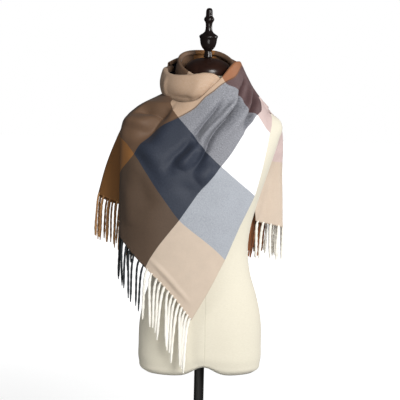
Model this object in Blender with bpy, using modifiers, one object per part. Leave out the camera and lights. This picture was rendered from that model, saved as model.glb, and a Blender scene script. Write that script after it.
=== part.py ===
"""A blanket scarf wound once round a dress form: the cloth in the stretches that show, a fringe on both
short ends, and the limbless form, turned cap and stand that it rests on. Metres, +Z up. The origin is
on the floor under the post, and the form faces -Y."""

import math

import bmesh
import bpy
import numpy as np
from mathutils import Vector
from mathutils.bvhtree import BVHTree

# ---------------------------------------------------------------- driving sizes
WALL = 0.0020                  # brushed cloth with its nap
PART_GAP = 0.0003              # between pieces that touch
CLOTH_GAP = 0.0006             # between the cloth and what it lies on
LAYER_REACH = 0.040            # how deep a layer may start inside another before it is laid over it
FORM_SEGMENTS = 44
NECK_TOP = 1.205
NECK_LEAN = math.radians(6.0)  # the neck leans towards the front
NECK_SHIFT = Vector((0.003, -0.008))
POST_RADIUS = 0.0125
POST_ENTRY = 0.060             # the post goes this far up into the form
BASE_RADIUS = 0.150
BASE_THICK = 0.012
TURN_STEPS = 22
STRAND_PITCH = 0.0127
STRAND_WIDTH = 0.0046
STRAND_LENGTH = 0.122
BACKING_DEPTH = 0.004          # the woven strip that holds the strands


# ---------------------------------------------------------------- shared tools
def clear_scene():
    for old in list(bpy.data.objects):
        bpy.data.objects.remove(old)


def finish(name, colour, roughness):
    material = bpy.data.materials.new(name)
    material.use_nodes = True
    shader = material.node_tree.nodes["Principled BSDF"]
    shader.inputs["Base Color"].default_value = (*colour, 1.0)
    shader.inputs["Roughness"].default_value = roughness
    material.diffuse_color = (*colour, 1.0)
    return material


def add_shape(name, shape, material, collection):
    """The bmesh as an object, its faces turned outwards."""
    bmesh.ops.recalc_face_normals(shape, faces=shape.faces)
    mesh = bpy.data.meshes.new(name)
    shape.to_mesh(mesh)
    shape.free()
    mesh.materials.append(material)
    mesh.shade_smooth()
    made = bpy.data.objects.new(name, mesh)
    collection.objects.link(made)
    return made


def curve_through(knots, values, at):
    """Values at the places `at` on a smooth curve through the knots."""
    knots = np.asarray(knots, float)
    values = np.asarray(values, float)
    flat = values.reshape(len(knots), -1)
    steps = np.diff(knots)[:, None]
    chords = np.diff(flat, axis=0) / steps
    slopes = np.empty_like(flat)
    slopes[0] = chords[0]
    slopes[-1] = chords[-1]
    slopes[1:-1] = (chords[:-1] * steps[1:] + chords[1:] * steps[:-1]) / (steps[1:] + steps[:-1])
    place = np.clip(np.searchsorted(knots, at, side="right") - 1, 0, len(knots) - 2)
    step = steps[place]
    u = ((np.asarray(at, float) - knots[place]) / step[:, 0])[:, None]
    start_weight = (1 + 2 * u) * (1 - u) ** 2
    smooth = start_weight * flat[place] + (1 - start_weight) * flat[place + 1]
    smooth += step * u * (1 - u) ** 2 * slopes[place]
    smooth -= step * u**2 * (1 - u) * slopes[place + 1]
    return smooth.reshape(len(u), *values.shape[1:])


# ---------------------------------------------------------------- the dress form
FORM_LEVELS = [
    # z, half width, depth in front, depth behind, squareness of the section
    (0.452, 0.136, 0.088, 0.080, 2.5),
    (0.458, 0.146, 0.097, 0.090, 2.4),
    (0.475, 0.152, 0.104, 0.097, 2.3),
    (0.520, 0.154, 0.108, 0.104, 2.2),
    (0.580, 0.152, 0.108, 0.112, 2.1),
    (0.640, 0.140, 0.102, 0.110, 2.1),
    (0.700, 0.122, 0.092, 0.094, 2.1),
    (0.760, 0.115, 0.086, 0.080, 2.1),
    (0.820, 0.122, 0.092, 0.082, 2.1),
    (0.880, 0.138, 0.106, 0.090, 2.1),
    (0.940, 0.157, 0.120, 0.097, 2.15),
    (0.990, 0.173, 0.116, 0.100, 2.2),
    (1.035, 0.187, 0.098, 0.098, 2.2),
    (1.068, 0.195, 0.076, 0.088, 2.2),
    (1.086, 0.186, 0.066, 0.080, 2.15),
    (1.104, 0.156, 0.060, 0.073, 2.1),
    (1.126, 0.112, 0.057, 0.068, 2.05),
    (1.146, 0.076, 0.058, 0.064, 2.0),
    (1.166, 0.060, 0.058, 0.060, 2.0),
    (1.205, 0.058, 0.058, 0.058, 2.0),
]
ARCH_HEIGHT = 0.022      # the lower edge rises between two rounded stumps
ARCH_HALF_WIDTH = 0.034
ARCH_FADE = 0.090
SHOULDER_TOP = 1.100     # the neck starts to lean here


def form_ring(level):
    z, half, front, back, square = level
    lean = max(0.0, (z - SHOULDER_TOP) / (NECK_TOP - SHOULDER_TOP))
    lift = max(0.0, 1 - (z - FORM_LEVELS[0][0]) / ARCH_FADE) ** 2
    ring = []
    for k in range(FORM_SEGMENTS):
        turn = 2 * math.pi * k / FORM_SEGMENTS
        side, behind = math.sin(turn), -math.cos(turn)
        depth = front if behind < 0 else back
        x = half * math.copysign(abs(side) ** (2 / square), side)
        y = depth * math.copysign(abs(behind) ** (2 / square), behind)
        rise = ARCH_HEIGHT * math.exp(-((x / ARCH_HALF_WIDTH) ** 2)) * lift
        rise += y * math.tan(NECK_LEAN) * lean
        ring.append((x + NECK_SHIFT.x * lean, y + NECK_SHIFT.y * lean, z + rise))
    return ring


def round_ring(radius, z):
    turns = [2 * math.pi * k / FORM_SEGMENTS for k in range(FORM_SEGMENTS)]
    return [(radius * math.sin(turn), -radius * math.cos(turn), z) for turn in turns]


def build_form(material, collection):
    """The padded body, with a socket up its middle for the post."""
    foot = FORM_LEVELS[0][0] + ARCH_HEIGHT
    socket = POST_RADIUS + PART_GAP
    socket_top = foot + POST_ENTRY + PART_GAP
    rings = [round_ring(socket, socket_top), round_ring(socket, foot)]
    rings += [form_ring(level) for level in FORM_LEVELS]
    shape = bmesh.new()
    loops = [[shape.verts.new(point) for point in ring] for ring in rings]
    for low, high in zip(loops, loops[1:]):
        for k in range(FORM_SEGMENTS):
            j = (k + 1) % FORM_SEGMENTS
            shape.faces.new((low[k], low[j], high[j], high[k]))
    for loop in (loops[0], loops[-1]):
        centre = shape.verts.new(sum((v.co for v in loop), Vector()) / len(loop))
        for k in range(FORM_SEGMENTS):
            shape.faces.new((loop[k], loop[(k + 1) % FORM_SEGMENTS], centre))
    return add_shape("form_body", shape, material, collection)


# ---------------------------------------------------------------- turned pieces
# Each profile runs top to bottom as (radius, height above the seat of the piece).
CAP_PROFILE = [
    (0.0000, 0.0290), (0.0110, 0.0288), (0.0260, 0.0262), (0.0400, 0.0215), (0.0510, 0.0150),
    (0.0575, 0.0080), (0.0590, 0.0030), (0.0580, 0.0000), (0.0000, 0.0000),
]
FINIAL_PROFILE = [
    (0.0000, 0.1220), (0.0045, 0.1212), (0.0074, 0.1180), (0.0078, 0.1090), (0.0062, 0.1050),
    (0.0085, 0.1030), (0.0118, 0.0995), (0.0118, 0.0955), (0.0085, 0.0925), (0.0070, 0.0900),
    (0.0072, 0.0760), (0.0100, 0.0680), (0.0175, 0.0625), (0.0215, 0.0600), (0.0218, 0.0570),
    (0.0205, 0.0545), (0.0200, 0.0480), (0.0165, 0.0370), (0.0115, 0.0270), (0.0075, 0.0200),
    (0.0070, 0.0160), (0.0095, 0.0120), (0.0130, 0.0060), (0.0160, 0.0020), (0.0165, 0.0000),
    (0.0000, 0.0000),
]
POST_LENGTH = FORM_LEVELS[0][0] + ARCH_HEIGHT + POST_ENTRY - BASE_THICK - PART_GAP
POST_PROFILE = [
    (0.0000, POST_LENGTH), (POST_RADIUS - 0.001, POST_LENGTH), (POST_RADIUS, POST_LENGTH - 0.001),
    (POST_RADIUS, 0.0000), (0.0000, 0.0000),
]
BASE_PROFILE = [
    (0.0000, BASE_THICK), (BASE_RADIUS - 0.006, BASE_THICK), (BASE_RADIUS - 0.002, BASE_THICK - 0.001),
    (BASE_RADIUS, BASE_THICK - 0.004), (BASE_RADIUS, 0.0015), (BASE_RADIUS - 0.0015, 0.0000),
    (0.0000, 0.0000),
]


def build_turned(name, profile, steps, seat, lean, material, collection):
    """A turned piece: its profile on the +X side, swept round by a Screw modifier."""
    verts = [(radius, 0.0, height) for radius, height in profile]
    edges = [(k, k + 1) for k in range(len(verts) - 1)]
    mesh = bpy.data.meshes.new(name)
    mesh.from_pydata(verts, edges, [])
    mesh.materials.append(material)
    piece = bpy.data.objects.new(name, mesh)
    collection.objects.link(piece)
    piece.location = seat
    piece.rotation_euler = (lean, 0.0, 0.0)
    screw = piece.modifiers.new("turn", "SCREW")
    screw.axis = "Z"
    screw.steps = steps
    screw.render_steps = steps
    screw.use_merge_vertices = True
    screw.merge_threshold = 0.0001
    screw.use_smooth_shade = True
    return piece


# ---------------------------------------------------------------- the cloth as hung
# Each row is a section in an upright plane through the form's axis, at an azimuth in degrees from the
# front (-Y), positive towards +X. Its points are (radius, height), from the neck down to the hem.
FRONT_SECTIONS = [
    # azimuth, rim, collar, chest, fall, hem
    (90, (0.085, 1.219), (0.100, 1.193), (0.117, 1.163), (0.137, 1.137), (0.157, 1.116)),
    (69, (0.089, 1.206), (0.106, 1.172), (0.128, 1.132), (0.148, 1.090), (0.163, 1.046)),
    (49, (0.094, 1.187), (0.115, 1.120), (0.138, 1.050), (0.150, 0.980), (0.154, 0.903)),
    (33, (0.100, 1.168), (0.122, 1.085), (0.140, 0.990), (0.144, 0.905), (0.143, 0.826)),
    (19, (0.101, 1.156), (0.124, 1.060), (0.141, 0.960), (0.141, 0.855), (0.137, 0.750)),
    (1, (0.103, 1.144), (0.124, 1.050), (0.142, 0.945), (0.142, 0.805), (0.138, 0.667)),
    (-15, (0.110, 1.131), (0.128, 1.050), (0.150, 0.940), (0.149, 0.770), (0.143, 0.598)),
    (-32, (0.118, 1.126), (0.140, 1.062), (0.166, 0.950), (0.166, 0.800), (0.158, 0.656)),
    (-52, (0.125, 1.124), (0.158, 1.078), (0.192, 0.985), (0.196, 0.850), (0.188, 0.720)),
    (-66, (0.130, 1.125), (0.168, 1.098), (0.206, 1.030), (0.214, 0.905), (0.211, 0.772)),
    (-74, (0.130, 1.127), (0.174, 1.105), (0.211, 1.050), (0.218, 0.925), (0.217, 0.797)),
    (-87, (0.126, 1.130), (0.171, 1.106), (0.203, 1.060), (0.195, 0.945), (0.184, 0.838)),
    (-98, (0.124, 1.133), (0.170, 1.106), (0.208, 1.058), (0.237, 0.970), (0.257, 0.884)),
    (-112, (0.120, 1.137), (0.164, 1.106), (0.206, 1.050), (0.228, 0.960), (0.238, 0.862)),
    (-126, (0.116, 1.143), (0.152, 1.112), (0.182, 1.052), (0.190, 0.950), (0.192, 0.850)),
    (-142, (0.110, 1.152), (0.142, 1.115), (0.168, 1.045), (0.182, 0.940), (0.188, 0.834)),
    (-160, (0.104, 1.165), (0.130, 1.122), (0.150, 1.050), (0.160, 0.945), (0.166, 0.842)),
]
BACK_SECTIONS = [
    # azimuth, rim, collar, blade, fall, hem
    (90.6, (0.085, 1.219), (0.100, 1.193), (0.117, 1.163), (0.137, 1.137), (0.157, 1.116)),
    (100, (0.084, 1.222), (0.099, 1.195), (0.119, 1.162), (0.143, 1.134), (0.165, 1.113)),
    (110, (0.083, 1.226), (0.098, 1.196), (0.120, 1.160), (0.146, 1.124), (0.172, 1.084)),
    (132, (0.080, 1.236), (0.096, 1.190), (0.118, 1.136), (0.142, 1.068), (0.152, 0.985)),
    (155, (0.078, 1.244), (0.094, 1.188), (0.112, 1.118), (0.132, 1.035), (0.138, 0.945)),
    (180, (0.078, 1.247), (0.092, 1.185), (0.110, 1.110), (0.128, 1.020), (0.132, 0.930)),
    (205, (0.086, 1.241), (0.098, 1.180), (0.112, 1.110), (0.128, 1.025), (0.134, 0.940)),
    (226, (0.098, 1.229), (0.104, 1.175), (0.112, 1.125), (0.130, 1.065), (0.138, 0.990)),
    (239.8, (0.104, 1.219), (0.107, 1.185), (0.101, 1.150), (0.118, 1.108), (0.130, 1.050)),
]
TAIL_SECTIONS = [
    # azimuth, rim, shoulder, blade, fall, hem
    (99, (0.118, 1.128), (0.172, 1.096), (0.196, 1.045), (0.166, 0.935), (0.139, 0.828)),
    (103, (0.117, 1.129), (0.176, 1.098), (0.205, 1.045), (0.202, 0.930), (0.182, 0.818)),
    (107, (0.116, 1.130), (0.178, 1.100), (0.210, 1.045), (0.220, 0.930), (0.221, 0.808)),
    (114, (0.114, 1.130), (0.168, 1.100), (0.205, 1.040), (0.218, 0.920), (0.220, 0.796)),
    (126, (0.110, 1.130), (0.146, 1.095), (0.184, 1.025), (0.202, 0.905), (0.208, 0.772)),
    (142, (0.102, 1.130), (0.126, 1.082), (0.152, 0.995), (0.174, 0.875), (0.184, 0.742)),
    (160, (0.094, 1.130), (0.110, 1.065), (0.124, 0.975), (0.144, 0.850), (0.158, 0.712)),
    (180, (0.088, 1.130), (0.102, 1.060), (0.114, 0.970), (0.130, 0.835), (0.150, 0.690)),
]
TAIL_INNER_SECTIONS = [
    # azimuth, rim, shoulder, blade, fall, hem
    (92, (0.110, 1.128), (0.160, 1.092), (0.184, 1.040), (0.152, 0.950), (0.135, 0.866)),
    (100, (0.109, 1.127), (0.160, 1.091), (0.187, 1.040), (0.152, 0.945), (0.136, 0.856)),
    (107, (0.107, 1.126), (0.158, 1.090), (0.188, 1.038), (0.170, 0.935), (0.156, 0.842)),
    (112, (0.106, 1.125), (0.154, 1.089), (0.186, 1.036), (0.192, 0.930), (0.190, 0.834)),
    (118, (0.105, 1.124), (0.150, 1.088), (0.182, 1.032), (0.196, 0.920), (0.194, 0.820)),
    (128, (0.100, 1.124), (0.134, 1.084), (0.166, 1.015), (0.184, 0.900), (0.188, 0.796)),
    (144, (0.093, 1.124), (0.116, 1.072), (0.138, 0.985), (0.158, 0.870), (0.166, 0.762)),
    (170, (0.085, 1.124), (0.098, 1.060), (0.108, 0.970), (0.124, 0.840), (0.140, 0.722)),
]
NECK_WINDING = [
    # azimuth, radius and height of the top edge, radius and height of the foot
    (10, 0.070, 1.162, 0.074, 1.118),
    (-30, 0.076, 1.188, 0.075, 1.128),
    (-60, 0.072, 1.206, 0.073, 1.150),
    (-90, 0.069, 1.222, 0.074, 1.158),
    (-140, 0.068, 1.244, 0.073, 1.168),
    (-180, 0.067, 1.248, 0.073, 1.168),
    (-210, 0.068, 1.247, 0.074, 1.165),
    (-250, 0.070, 1.226, 0.073, 1.165),
    (-275, 0.071, 1.214, 0.074, 1.156),
    (-300, 0.075, 1.202, 0.075, 1.136),
    (-340, 0.086, 1.183, 0.079, 1.107),
    (-364, 0.099, 1.182, 0.084, 1.108),
    (-390, 0.107, 1.192, 0.089, 1.114),
    (-415, 0.112, 1.200, 0.096, 1.124),
    (-440, 0.110, 1.209, 0.099, 1.138),
    (-480, 0.104, 1.219, 0.101, 1.150),
]

# Soft folds: (azimuth, height) of both ends, half width and depth, outwards if positive.
FRONT_FOLDS = [
    ((72, 1.170), (8, 0.985), 0.011, -0.010),
    ((66, 1.150), (16, 0.935), 0.011, 0.007),
    ((60, 1.130), (24, 0.930), 0.010, -0.008),
    ((80, 1.180), (64, 1.080), 0.009, -0.008),
    ((52, 1.120), (34, 0.960), 0.012, 0.006),
    ((-24, 0.760), (-8, 0.640), 0.012, 0.006),
]


def turns_between(azimuths, step):
    """Azimuths of the columns: every row of the table and even steps between."""
    turns = []
    for start, end in zip(azimuths, azimuths[1:]):
        turns += list(np.linspace(start, end, max(1, round((end - start) / step)), endpoint=False))
    return np.array(turns + [azimuths[-1]])


def hanging_grid(rows, step, lines):
    """Points of a hanging stretch, columns round the form by lines down the cloth."""
    rows = sorted(rows)
    azimuths = [row[0] for row in rows]
    sections = [row[1:] for row in rows]
    knots = np.arange(len(sections[0]))
    places = np.linspace(0, knots[-1], lines)
    down = np.array([curve_through(knots, section, places) for section in sections])
    turns = turns_between(azimuths, step)
    smooth = curve_through(azimuths, down, turns)
    # A cut edge runs straight from corner to corner, so heights are smooth only near the neck.
    straight = np.array([np.interp(turns, azimuths, down[:, j, 1]) for j in range(lines)]).T
    share = (places / knots[-1]) ** 2
    radius = smooth[..., 0]
    height = smooth[..., 1] * (1 - share) + straight * share
    angle = np.radians(turns)[:, None]
    return np.stack([radius * np.sin(angle), -radius * np.cos(angle), height], axis=-1)


def neck_grid(columns, lines):
    """The cloth round the neck as one winding, from inside the throat to the band in front."""
    table = np.array(NECK_WINDING, float)
    turns = np.linspace(-table[0, 0], -table[-1, 0], columns)
    rows = curve_through(-table[:, 0], table[:, 1:], turns)
    across = np.linspace(0, 1, lines)[None, :]
    bow = 0.003 * np.sin(math.pi * across)
    radius = rows[:, 2:3] * (1 - across) + rows[:, 0:1] * across + bow
    height = rows[:, 3:4] * (1 - across) + rows[:, 1:2] * across
    angle = -np.radians(turns)[:, None]
    return np.stack([radius * np.sin(angle), -radius * np.cos(angle), height], axis=-1)


def outward_normals(grid):
    normal = np.cross(np.gradient(grid, axis=1), np.gradient(grid, axis=0))
    normal /= np.linalg.norm(normal, axis=-1, keepdims=True)
    facing = (normal[..., :2] * grid[..., :2]).sum(axis=-1)
    return normal * np.sign(facing.sum())


def outer_face(grid):
    return grid + outward_normals(grid) * WALL


def with_folds(grid, folds):
    azimuth = np.degrees(np.arctan2(grid[..., 0], -grid[..., 1]))
    height = grid[..., 2]
    arc = math.radians(1) * float(np.hypot(grid[..., 0], grid[..., 1]).mean())
    shift = np.zeros(height.shape)
    for start, end, half_width, depth in folds:
        run = np.array([(end[0] - start[0]) * arc, end[1] - start[1]])
        away = np.stack([(azimuth - start[0]) * arc, height - start[1]], axis=-1)
        along = np.clip((away @ run) / (run @ run), 0, 1)
        distance = np.linalg.norm(away - along[..., None] * run, axis=-1)
        shift += depth * np.exp(-((distance / half_width) ** 2))
    return grid + outward_normals(grid) * shift[..., None]


def tree_of(grid):
    """The outer face of a stretch, to lay the next one over."""
    points = outer_face(grid)
    columns, lines = points.shape[:2]
    quads = []
    for i in range(columns - 1):
        for j in range(lines - 1):
            k = i * lines + j
            quads.append((k, k + 1, k + lines + 1, k + lines))
    a, b, c = (points.reshape(-1, 3)[quads[0][n]] for n in range(3))
    if np.cross(b - a, c - a) @ outward_normals(grid)[0, 0] < 0:
        quads = [quad[::-1] for quad in quads]
    return BVHTree.FromPolygons([Vector(point) for point in points.reshape(-1, 3)], quads)


def lifted(point, trees, gap):
    """The least move that puts a point the gap outside each surface that lies under it."""
    move = Vector()
    for tree in trees:
        spot, normal, _, _ = tree.find_nearest(point + move)
        away = point + move - spot
        height = away.dot(normal)
        beside = (away - normal * height).length
        if -LAYER_REACH < height < gap and beside < 0.004:
            move += normal * (gap - height)
    return np.array(move)


def clear_of(grid, trees, gap):
    """The grid moved so that its faces, tried at even places, lie the gap outside the layers."""
    moved = grid.copy()
    steps = np.linspace(0, 1, 5)
    spots = [(u, v) for u in steps for v in steps]
    for _ in range(5):
        for i, j in np.ndindex(grid.shape[0] - 1, grid.shape[1] - 1):
            for u, v in spots:
                weights = {(i, j): (1 - u) * (1 - v), (i + 1, j): u * (1 - v)}
                weights |= {(i, j + 1): (1 - u) * v, (i + 1, j + 1): u * v}
                point = sum(moved[place] * weight for place, weight in weights.items())
                lift = lifted(Vector(point), trees, gap)
                if lift.any():
                    whole_weight = sum(weight**2 for weight in weights.values())
                    for place, weight in weights.items():
                        moved[place] += lift * weight / whole_weight
    return moved


def build_cloth(name, grid, material, collection):
    """A wall of cloth between the grid and the same grid moved out by the wall."""
    columns, lines = grid.shape[:2]
    shape = bmesh.new()
    inner = [[shape.verts.new(point) for point in column] for column in grid]
    outer = [[shape.verts.new(point) for point in column] for column in outer_face(grid)]
    for i in range(columns - 1):
        for j in range(lines - 1):
            for face in (inner, outer):
                shape.faces.new((face[i][j], face[i][j + 1], face[i + 1][j + 1], face[i + 1][j]))
        for j in (0, lines - 1):
            shape.faces.new((inner[i][j], inner[i + 1][j], outer[i + 1][j], outer[i][j]))
    for i in (0, columns - 1):
        for j in range(lines - 1):
            shape.faces.new((inner[i][j], inner[i][j + 1], outer[i][j + 1], outer[i][j]))
    return add_shape(name, shape, material, collection)


# ---------------------------------------------------------------- fringes
def hem_of(grid, start, end):
    """The cut lower edge between two azimuths: its inner corner, outer corner and down direction."""
    inner, outer = grid[:, -1], outer_face(grid)[:, -1]
    edges = np.gradient(inner + outer, axis=0)
    edges /= np.linalg.norm(edges, axis=1)[:, None]
    downs = grid[:, -1] - grid[:, -2]
    downs -= edges * (downs * edges).sum(axis=1)[:, None]
    downs /= np.linalg.norm(downs, axis=1)[:, None]
    azimuths = np.unwrap(np.arctan2(inner[:, 0], -inner[:, 1]))
    azimuths += 2 * math.pi * round((math.radians(start) - azimuths[0]) / (2 * math.pi))
    keep = np.radians([start, end])
    between = (azimuths > keep[0]) & (azimuths < keep[1])
    rows = np.hstack([inner, outer, downs])
    ends = [[np.interp(turn, azimuths, rows[:, c]) for c in range(9)] for turn in keep]
    return np.vstack([ends[0], rows[between], ends[1]])


def strand_places(knots):
    """Where each strand starts along the edge: an even pitch, but never across a bend of the edge."""
    count = round(knots[-1] / STRAND_PITCH)
    starts = knots[-1] * (np.arange(count) + 0.5) / count - STRAND_WIDTH / 2
    for k, start in enumerate(starts):
        crossed = [knot for knot in knots if start < knot < start + STRAND_WIDTH]
        if crossed:
            starts[k] = crossed[0]
    return starts


def build_fringe(name, hem, length, material, collection, seed):
    """A narrow woven strip under the cloth's edge and the strands that hang from it."""
    rng = np.random.default_rng(seed)
    middle = (hem[:, :3] + hem[:, 3:6]) / 2
    knots = np.concatenate([[0], np.cumsum(np.linalg.norm(np.diff(middle, axis=0), axis=1))])
    starts = strand_places(knots)
    stops = np.unique(np.round(np.concatenate([knots, starts, starts + STRAND_WIDTH]), 6))
    places = np.stack([np.interp(stops, knots, hem[:, c]) for c in range(9)], axis=1)
    shape = bmesh.new()
    rails = []
    for place in places:
        inner, outer, down = place[:3], place[3:6], place[6:]
        upper, lower = down * PART_GAP, down * (PART_GAP + BACKING_DEPTH)
        corners = (inner + upper, outer + upper, outer + lower, inner + lower)
        rails.append([shape.verts.new(corner) for corner in corners])
    for stop, a, b in zip(stops, rails, rails[1:]):
        for k in (0, 1, 3):
            j = (k + 1) % 4
            shape.faces.new((a[k], b[k], b[j], a[j]))
        under = (a[2], b[2], b[3], a[3])
        if np.abs(starts - stop).min() < 2e-6:
            hang_strand(shape, under, length * rng.uniform(0.94, 1.04), rng)
        else:
            shape.faces.new(under)
    shape.faces.new(rails[0])
    shape.faces.new(rails[-1][::-1])
    return add_shape(name, shape, material, collection)


def hang_strand(shape, root, length, rng):
    """A four-sided twisted strand under a face of the strip, swaying a little."""
    middle = sum((v.co for v in root), Vector()) / 4
    up = Vector((0, 0, 1))
    along = root[1].co - root[0].co
    along = (along - up * along.z).normalized()
    out = (root[0].co - root[3].co).dot(along.cross(up))
    out = along.cross(up) * math.copysign(1.0, out)
    sway = along * rng.uniform(-0.005, 0.005)
    upper = root
    for share, width in ((0.45, 0.0040), (1.0, 0.0034)):
        centre = middle - up * length * share + sway * share
        side, depth = along * width / 2, out * width / 2
        corners = (depth - side, depth + side, side - depth, -side - depth)
        lower = [shape.verts.new(centre + corner) for corner in corners]
        for k in range(4):
            j = (k + 1) % 4
            shape.faces.new((upper[k], upper[j], lower[j], lower[k]))
        upper = lower
    shape.faces.new(upper)


# ---------------------------------------------------------------- assembly
clear_scene()
whole = bpy.data.collections.new("blanket_scarf_on_dress_form")
bpy.context.scene.collection.children.link(whole)
linen = finish("cream_linen", (0.80, 0.76, 0.64), 0.8)
wood = finish("dark_polished_wood", (0.030, 0.016, 0.012), 0.25)
steel = finish("black_steel", (0.02, 0.02, 0.02), 0.4)
check_cloth = finish("checked_cloth", (0.30, 0.29, 0.32), 0.9)
beige_cloth = finish("beige_cloth", (0.60, 0.49, 0.38), 0.9)
white_yarn = finish("white_yarn", (0.86, 0.86, 0.86), 0.9)
charcoal_yarn = finish("charcoal_yarn", (0.05, 0.06, 0.07), 0.9)
camel_yarn = finish("camel_yarn", (0.42, 0.24, 0.12), 0.9)
rust_yarn = finish("rust_yarn", (0.16, 0.05, 0.03), 0.9)

form = build_form(linen, whole)
neck_seat = Vector((NECK_SHIFT.x, NECK_SHIFT.y, NECK_TOP + PART_GAP))
neck_axis = Vector((0, -math.sin(NECK_LEAN), math.cos(NECK_LEAN)))
finial_seat = neck_seat + neck_axis * (CAP_PROFILE[0][1] + PART_GAP)
build_turned("neck_cap", CAP_PROFILE, TURN_STEPS, neck_seat, NECK_LEAN, wood, whole)
build_turned("finial", FINIAL_PROFILE, TURN_STEPS, finial_seat, NECK_LEAN, wood, whole)
post_seat = Vector((0, 0, BASE_THICK + PART_GAP))
build_turned("stand_post", POST_PROFILE, 20, post_seat, 0.0, steel, whole)
build_turned("stand_base", BASE_PROFILE, 40, Vector(), 0.0, steel, whole)

CLOTHS = [
    # name, grid, yarn, and what it lies over: a stretch and the first of its columns that is under
    ("scarf_tail_inner", hanging_grid(TAIL_INNER_SECTIONS, 7.0, 8), check_cloth, ()),
    ("scarf_tail", hanging_grid(TAIL_SECTIONS, 5.0, 12), beige_cloth, (("scarf_tail_inner", 0),)),
    ("scarf_neck", neck_grid(64, 5), beige_cloth, ()),
    (
        "scarf_back",
        hanging_grid(BACK_SECTIONS, 7.0, 12),
        check_cloth,
        (("scarf_tail_inner", 0), ("scarf_tail", 0), ("scarf_neck", 0)),
    ),
    (
        "scarf_front",
        with_folds(hanging_grid(FRONT_SECTIONS, 4.6, 20), FRONT_FOLDS),
        check_cloth,
        (("scarf_back", 9), ("scarf_neck", 0)),
    ),
]
body_tree = BVHTree.FromObject(form, bpy.context.evaluated_depsgraph_get())
hung = {}
for name, grid, yarn, under in CLOTHS:
    layers = [body_tree] + [tree_of(hung[other][first:]) for other, first in under]
    hung[name] = clear_of(grid, layers, CLOTH_GAP)
    build_cloth(name, hung[name], yarn, whole)

FRINGES = [
    # name, stretch, from azimuth, to azimuth, length, yarn
    ("fringe_white", "scarf_front", -54, -15.6, STRAND_LENGTH, white_yarn),
    ("fringe_charcoal", "scarf_front", -83.6, -54.3, STRAND_LENGTH, charcoal_yarn),
    ("fringe_camel", "scarf_front", -117.7, -87.6, STRAND_LENGTH, camel_yarn),
    ("fringe_rust", "scarf_front", -159.5, -118, STRAND_LENGTH, rust_yarn),
    ("tail_fringe_white", "scarf_tail", 99.4, 125.7, 0.088, white_yarn),
    ("tail_fringe_charcoal", "scarf_tail", 126, 179.5, 0.095, charcoal_yarn),
    ("tail_fringe_rust", "scarf_tail_inner", 92.4, 121.7, 0.115, rust_yarn),
    ("tail_fringe_camel", "scarf_tail_inner", 122, 169.5, 0.115, camel_yarn),
]
for seed, (name, stretch, start, end, length, yarn) in enumerate(FRINGES):
    hem = hem_of(hung[stretch], start, end)
    build_fringe(name, hem, length, yarn, whole, seed)
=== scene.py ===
import math

import bmesh
import bpy
import numpy as np
from mathutils import Matrix, Vector
from mathutils.bvhtree import BVHTree


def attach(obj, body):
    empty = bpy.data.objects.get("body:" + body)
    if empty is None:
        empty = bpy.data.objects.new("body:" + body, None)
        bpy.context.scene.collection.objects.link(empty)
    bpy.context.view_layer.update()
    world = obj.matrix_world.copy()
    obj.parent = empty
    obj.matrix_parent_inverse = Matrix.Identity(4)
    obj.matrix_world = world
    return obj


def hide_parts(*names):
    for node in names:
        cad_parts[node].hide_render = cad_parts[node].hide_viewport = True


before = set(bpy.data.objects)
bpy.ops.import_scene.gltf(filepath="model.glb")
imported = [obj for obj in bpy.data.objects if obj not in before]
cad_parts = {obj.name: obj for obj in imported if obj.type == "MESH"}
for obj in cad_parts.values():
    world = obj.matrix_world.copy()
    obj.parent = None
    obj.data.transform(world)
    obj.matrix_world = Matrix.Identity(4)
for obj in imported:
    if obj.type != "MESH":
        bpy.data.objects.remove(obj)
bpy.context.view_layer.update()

# -------- camera, floor and studio light
# A long lens a little to the left of a form on white paper, level with its waist and looking slightly
# down. A big soft light hangs front right, a weaker one stands at its right side, the paper throws
# light back up, and a narrow spot lifts the shaded hip.
scene = bpy.context.scene
camera = bpy.data.objects.new("camera", bpy.data.cameras.new("camera"))
scene.collection.objects.link(camera)
scene.camera = camera
swing, rise, tilt, distance = math.radians(-6.0), math.radians(4.0), math.radians(1.3), 3.4
aim = Vector((0.0, 0.0, 0.88))
camera.matrix_world = (
    Matrix.Translation(aim)
    @ Matrix.Rotation(swing, 4, "Z")
    @ Matrix.Rotation(math.pi / 2 - rise, 4, "X")
    @ Matrix.Rotation(tilt, 4, "Z")
    @ Matrix.Translation((0.0, 0.0, distance))
)
camera.data.lens = 122.4
camera.data.shift_x = -0.0075
camera.data.clip_end = 100.0
scene.view_settings.view_transform = "Standard"


def light(kind, name, place, target, watts, colour, **values):
    lamp = bpy.data.lights.new(name, kind)
    lamp.energy = watts
    lamp.color = colour
    for key, value in values.items():
        setattr(lamp, key, value)
    made = bpy.data.objects.new(name, lamp)
    made.location = place
    made.rotation_euler = (Vector(target) - Vector(place)).to_track_quat("-Z", "Y").to_euler()
    scene.collection.objects.link(made)


light("AREA", "front_light", (1.05, -3.3, 2.0), aim, 115, (1.0, 0.995, 0.98), shape="DISK", size=1.5)
light("AREA", "side_light", (3.2, 0.0, 1.7), aim, 54, (1.0, 0.99, 0.97), shape="DISK", size=1.1)
light("AREA", "floor_bounce", (-0.1, -3.3, 0.12), aim, 36, (1.0, 0.99, 0.96), shape="DISK", size=1.6)
light("SPOT", "hip_light", (-1.7, -1.45, 0.42), (-0.12, -0.03, 0.53), 65, (1.0, 0.985, 0.94),
      spot_size=math.radians(15), spot_blend=1.0, shadow_soft_size=0.25)


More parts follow.
